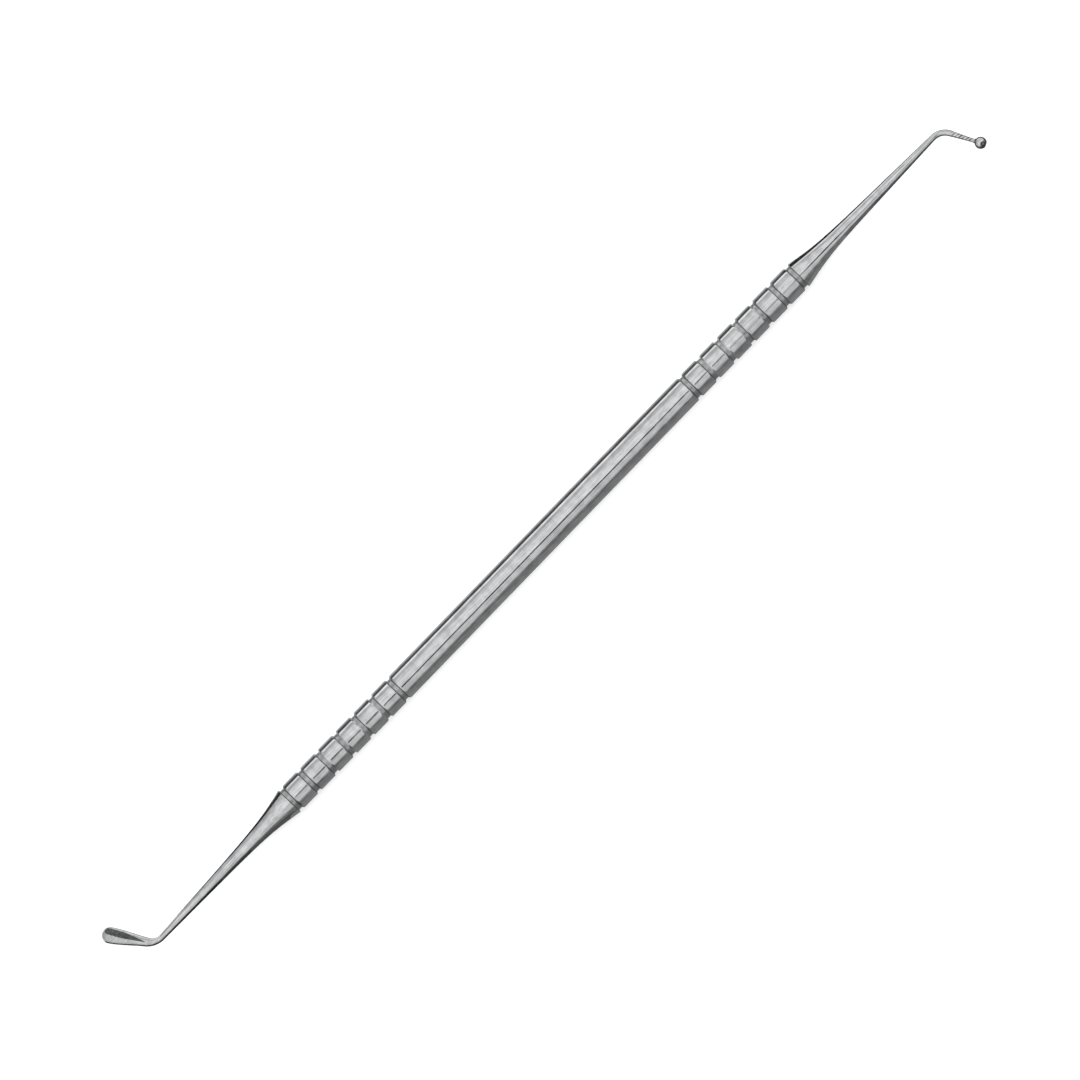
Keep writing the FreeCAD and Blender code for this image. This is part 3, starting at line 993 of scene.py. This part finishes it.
# %% [markdown]
# ## The dark cards
#
# A polished flat shows what lies beside the tool, so grey cards give each flat its
# tone. Near cards lie from under the tool out to the foot of the tent, and the flats
# on the near side mirror them: a middle grey one along the handle, and from there
# towards each end darker ones in small steps, so that no border shows. The darkest
# is at the paddle. The page card is pale and lies under the far side. The far cards
# beyond it are nearly black and make the black line along the far flat. Seam cards
# hang high in the tent, where the rounded ridge between two upper flats finds them
# and shows as a thin dark line. A last one hangs low on the far side, beyond the
# paddle, where the cloth is too bright for that end of the tool.
# All the cards are seen in reflections only, so they leave no mark on the white page.

# %% Card helpers
CARD_HEIGHT = 0.05
CARD_RADIUS = 880


def dark_card(name, corners, tone):
    mesh = bpy.data.meshes.new(name)
    points = [(x * MM, y * MM, z * MM) for x, y, z in corners]
    mesh.from_pydata(points, [], [tuple(range(len(points)))])
    card = bpy.data.objects.new(name, mesh)
    bpy.context.scene.collection.objects.link(card)
    card.visible_camera = False
    card.visible_diffuse = False
    card.visible_shadow = False
    material = empty_material("Card of tone " + str(tone))
    grey = add_node(material.node_tree, "ShaderNodeEmission", {
        "Color": (tone, tone, tone, 1), "Strength": 1.0})
    add_node(material.node_tree, "ShaderNodeOutputMaterial", {"Surface": grey})
    mesh.materials.append(material)
    return card


def on_table(*outline):
    """Corners of a card that lies flat, a hair above the table."""
    return [(x, y, CARD_HEIGHT) for x, y in outline]


def in_tent(x0, x1, low, high):
    """Corners of a strip that hangs just inside the tent, between two angles."""
    corners = []
    for x, angle in ((x0, low), (x1, low), (x1, high), (x0, high)):
        turn = math.radians(angle)
        corners.append((x, -CARD_RADIUS * math.cos(turn), CARD_RADIUS * math.sin(turn)))
    return corners


print("cards lie", CARD_HEIGHT, "mm above the table or hang", CARD_RADIUS, "mm from the tool")

# %% [markdown]
# Each card has a tone, from 0 for black to 1 for white, and its corners in
# millimetres. `FOOT` is how far the near cards reach, to the foot of the tent.

# %% Dark cards
FOOT = -878
CARDS = {
    "near_card": (0.33, on_table((-94, FOOT), (92, FOOT), (53, 1), (-54, 1))),
    "page_card": (0.75, on_table((-54, 1), (53, 1), (53, 10.9), (-54, 10.9))),
    "near_card_at_ball_taper": (0.3, on_table((92, FOOT), (150, FOOT), (61, 0.6), (53, 0.6))),
    "near_card_at_ball_cone": (0.21, on_table((150, FOOT), (170, FOOT), (67, 0.6), (61, 0.6))),
    "near_card_at_ball": (0.14, on_table(
        (170, FOOT), (500, FOOT), (500, -1), (84, 0.6), (67, 0.6))),
    "near_card_at_taper": (0.14, on_table((-150, FOOT), (-94, FOOT), (-54, 0.6), (-61, 0.6))),
    "near_card_at_cone": (0.07, on_table((-170, FOOT), (-150, FOOT), (-61, 0.6), (-67, 0.6))),
    "near_card_at_paddle": (0.02, on_table(
        (-500, FOOT), (-170, FOOT), (-67, 0.6), (-79, 0.6), (-83.6, 3), (-86, 6), (-500, 6))),
    "far_card": (0.12, on_table((-52, 10.9), (52, 10.9), (52, 400), (-52, 400))),
    "far_card_at_ball": (0.04, on_table(
        (52, 10.9), (60, 1.8), (66, 0.9), (83, 0.9), (500, 1.8), (500, 400), (52, 400))),
    "far_card_at_paddle": (0.04, on_table(
        (-76, 2.5), (-60, 2.5), (-52, 10.9), (-52, 400), (-76, 400))),
    "seam_card": (0.1, in_tent(-95, 66, 48, 68)),
    "seam_card_at_ball": (0.2, in_tent(88, 160, 50, 62)),
    "seam_card_at_ball_taper": (0.08, in_tent(190, 800, 46, 66)),
    "side_card_at_paddle": (0.65, in_tent(-1500, -96, 150, 179)),
}
cards = [dark_card(name, corners, tone) for name, (tone, corners) in CARDS.items()]
print("cards:", len(cards))

# %% [markdown]
# The room outside the tent is plain white, and it is what low cameras see behind the
# tool. The light it sends through the tent's open ends is kept down.

# %% World
ROOM_LIGHT = 0.8

world = bpy.data.worlds.new("White room")
bpy.context.scene.world = world
world.use_nodes = True
world.node_tree.nodes.clear()
level = add_node(world.node_tree, "ShaderNodeMapRange", {
    "Value": seen_directly(world.node_tree), "To Min": ROOM_LIGHT, "To Max": 1.0})
room = add_node(world.node_tree, "ShaderNodeBackground", {
    "Color": (1, 1, 1, 1), "Strength": level})
add_node(world.node_tree, "ShaderNodeOutputWorld", {"Surface": room})
bpy.context.scene.view_settings.view_transform = "Standard"
print("world:", world.name)

# %% [markdown]
# ## The camera
#
# The photograph looks down on the tool at about 72 degrees with a long lens, turned
# so that the handle runs from the lower left to the upper right corner. The camera's
# three axes are worked out from those two angles and put into its matrix.

# %% Camera
from mathutils import Matrix, Vector

TILT = math.radians(18.2)
ROLL = math.radians(45.93)
DISTANCE = 1.2
FRAME_WIDTH = 0.1544
SENSOR = 36
AIM_ALONG = -0.575
AIM_UP_PAGE = 0.215

back = Vector((0, -math.sin(TILT), math.cos(TILT)))
along_tool = Vector((1, 0, 0))
down_tool = Vector((0, -math.cos(TILT), -math.sin(TILT)))
right = along_tool * math.cos(ROLL) + down_tool * math.sin(ROLL)
up = along_tool * math.sin(ROLL) - down_tool * math.cos(ROLL)
target = Vector((AIM_ALONG, 0, AXIS_HEIGHT)) * MM - down_tool * AIM_UP_PAGE * MM
viewpoint = target + back * DISTANCE

lens = bpy.data.cameras.new("camera")
lens.sensor_width = SENSOR
lens.lens = SENSOR * DISTANCE / FRAME_WIDTH
lens.clip_end = 20
camera = bpy.data.objects.new("camera", lens)
camera.matrix_world = Matrix((
    (right.x, up.x, back.x, viewpoint.x),
    (right.y, up.y, back.y, viewpoint.y),
    (right.z, up.z, back.z, viewpoint.z),
    (0, 0, 0, 1),
))
bpy.context.scene.collection.objects.link(camera)
bpy.context.scene.camera = camera
print("lens", round(lens.lens), "mm")
